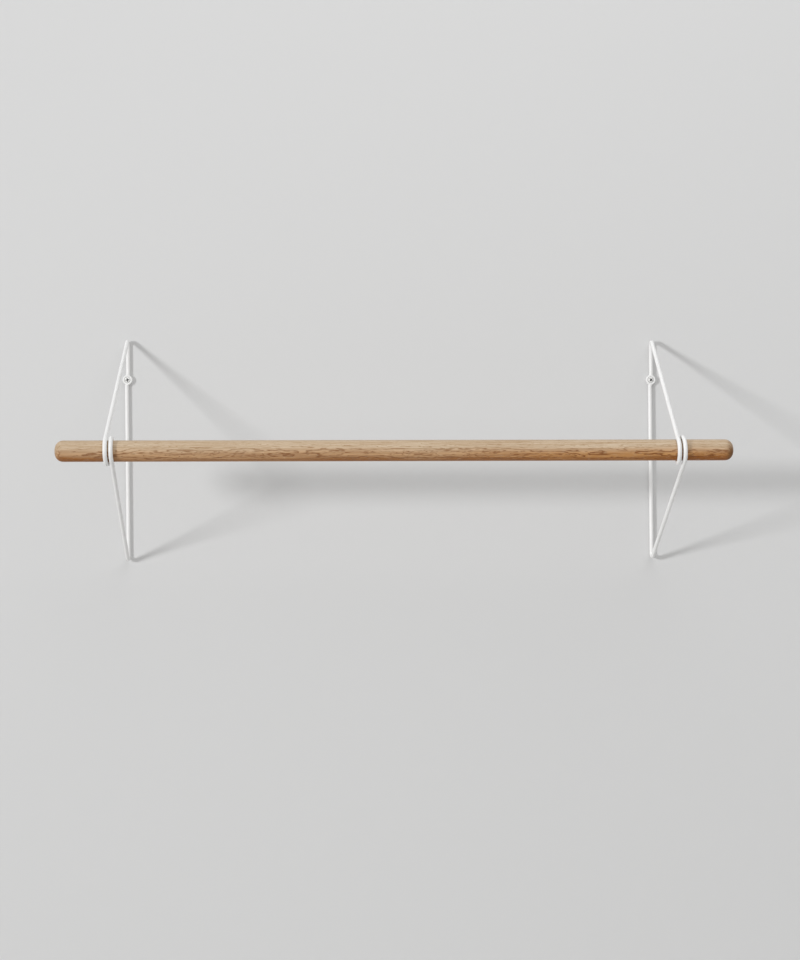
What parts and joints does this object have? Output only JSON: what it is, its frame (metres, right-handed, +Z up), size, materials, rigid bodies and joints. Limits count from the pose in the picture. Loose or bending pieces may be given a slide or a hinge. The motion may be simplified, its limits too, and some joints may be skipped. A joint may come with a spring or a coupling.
{
  "type": "wall coat rail",
  "caption": "Wall-mounted coat rail: a round-ended oak rod through the coils of two white bent-wire triangle brackets, each fixed by one screw.",
  "frame": {"origin": "on the wall plane, at the height of the rod's axis, midway between the two brackets", "axes": "+X along the rod to the right as seen from the room, +Y into the wall, +Z up"},
  "size_m": [0.8, 0.2349, 0.282],
  "materials": {
    "oiled_oak": "oiled, straight grain along the rod",
    "white_powder_coat": "satin powder coat",
    "screw_steel": "head lacquered white, shank zinc plated"
  },
  "bodies": {
    "brackets": {"left_bracket_wire": "white_powder_coat", "right_bracket_wire": "white_powder_coat", "left_screw_eye": "white_powder_coat", "right_screw_eye": "white_powder_coat", "left_wall_screw": "screw_steel", "right_wall_screw": "screw_steel"},
    "rod": {"oak_rod": "oiled_oak"}
  },
  "joints": [
    {"name": "rod_slide", "type": "slide", "parent": "brackets", "child": "rod", "axis": [1, 0, 0], "range_m": [-0.045, 0.045]}
  ]
}
